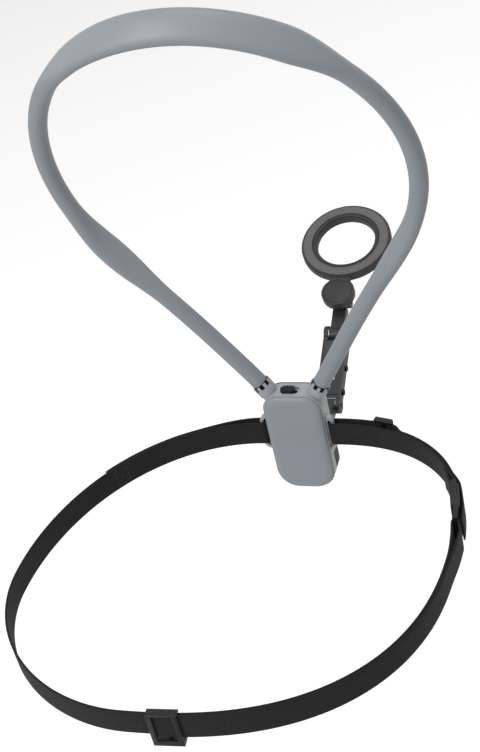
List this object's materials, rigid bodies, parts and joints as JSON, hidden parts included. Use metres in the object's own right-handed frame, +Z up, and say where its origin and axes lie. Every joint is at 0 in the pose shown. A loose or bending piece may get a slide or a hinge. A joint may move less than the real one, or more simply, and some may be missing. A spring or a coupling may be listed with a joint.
{
  "type": "neck phone holder",
  "caption": "Flexible silicone-covered neck hoop and chest belt carrying a chest housing with a folding arm and a magnetic phone ring.",
  "frame": {"origin": "centre of the chest pad's face, which lies on the wearer's chest", "axes": "+Z up, +Y forward and away from the chest, +X towards the wearer's right"},
  "size_m": [0.249, 0.433, 0.3471],
  "materials": {
    "silicone": "matte",
    "housing_grey": "satin",
    "cover_black": "satin",
    "arm_plastic": "satin",
    "steel": "satin",
    "black_steel": "satin",
    "magnet": "polished",
    "ring_rubber": "matte",
    "webbing": "matte",
    "buckle_plastic": "satin"
  },
  "bodies": {
    "holder": {"chest_pad": "silicone", "main_body": "housing_grey", "front_cover": "cover_black", "cover_screws": "steel", "dock_block": "arm_plastic", "dock_screws": "steel", "hoop_sleeve": "silicone", "hoop_core": "steel", "ferrule_left": "arm_plastic", "ferrule_right": "arm_plastic", "arm_base": "arm_plastic", "front_strap": "webbing", "long_strap": "webbing", "buckle_socket": "buckle_plastic", "buckle_plug": "buckle_plastic"},
    "lock": {"lock_slider": "arm_plastic", "latch_plate": "steel", "latch_screw": "steel"},
    "front_adjuster": {"front_triglide": "buckle_plastic"},
    "rear_adjuster": {"rear_triglide": "buckle_plastic"},
    "lower_arm": {"lower_link_left": "arm_plastic", "lower_link_right": "arm_plastic", "link_screws": "black_steel", "base_pin": "black_steel", "base_nut": "black_steel", "base_washers": "steel", "elbow_pin": "black_steel", "elbow_nut": "black_steel", "elbow_washers": "steel"},
    "upper_arm": {"upper_link": "arm_plastic"},
    "head": {"swivel_base": "arm_plastic", "tilt_pin": "black_steel", "swivel_washer": "steel", "swivel_screw": "steel"},
    "ring": {"ring_frame": "arm_plastic", "ring_magnets": "magnet", "ring_face": "ring_rubber", "swivel_cap": "arm_plastic"}
  },
  "joints": [
    {"name": "lock_slide", "type": "slide", "parent": "holder", "child": "lock", "axis": [1, 0, 0], "range_m": [0, 0.003], "stiffness_N_per_m": 250, "springref_m": -0.004},
    {"name": "front_adjuster_slide", "type": "hinge", "parent": "holder", "child": "front_adjuster", "pos_m": [0.03094, -0.08447, 0.006], "axis": [0, 0, 1], "range_deg": [-0.2, 3.08]},
    {"name": "rear_adjuster_slide", "type": "hinge", "parent": "holder", "child": "rear_adjuster", "pos_m": [-0.03283, 0.04393, 0.006], "axis": [0, 0, 1], "range_deg": [-0.85, 0.85]},
    {"name": "base_pitch", "type": "hinge", "parent": "holder", "child": "lower_arm", "pos_m": [0, 0.0698, -0.0249], "axis": [1, 0, 0], "range_deg": [-60, 60]},
    {"name": "elbow_pitch", "type": "hinge", "parent": "lower_arm", "child": "upper_arm", "pos_m": [0, 0.11731, -0.00142], "axis": [1, 0, 0], "range_deg": [-100, 60]},
    {"name": "head_tilt", "type": "hinge", "parent": "upper_arm", "child": "head", "pos_m": [0, 0.13878, 0.0091], "axis": [1, 0, 0], "range_deg": [-70, 9]},
    {"name": "ring_swivel", "type": "hinge", "parent": "head", "child": "ring", "pos_m": [0, 0.13442, 0.02198], "axis": [0, -0.3206, 0.9472], "continuous": true}
  ]
}
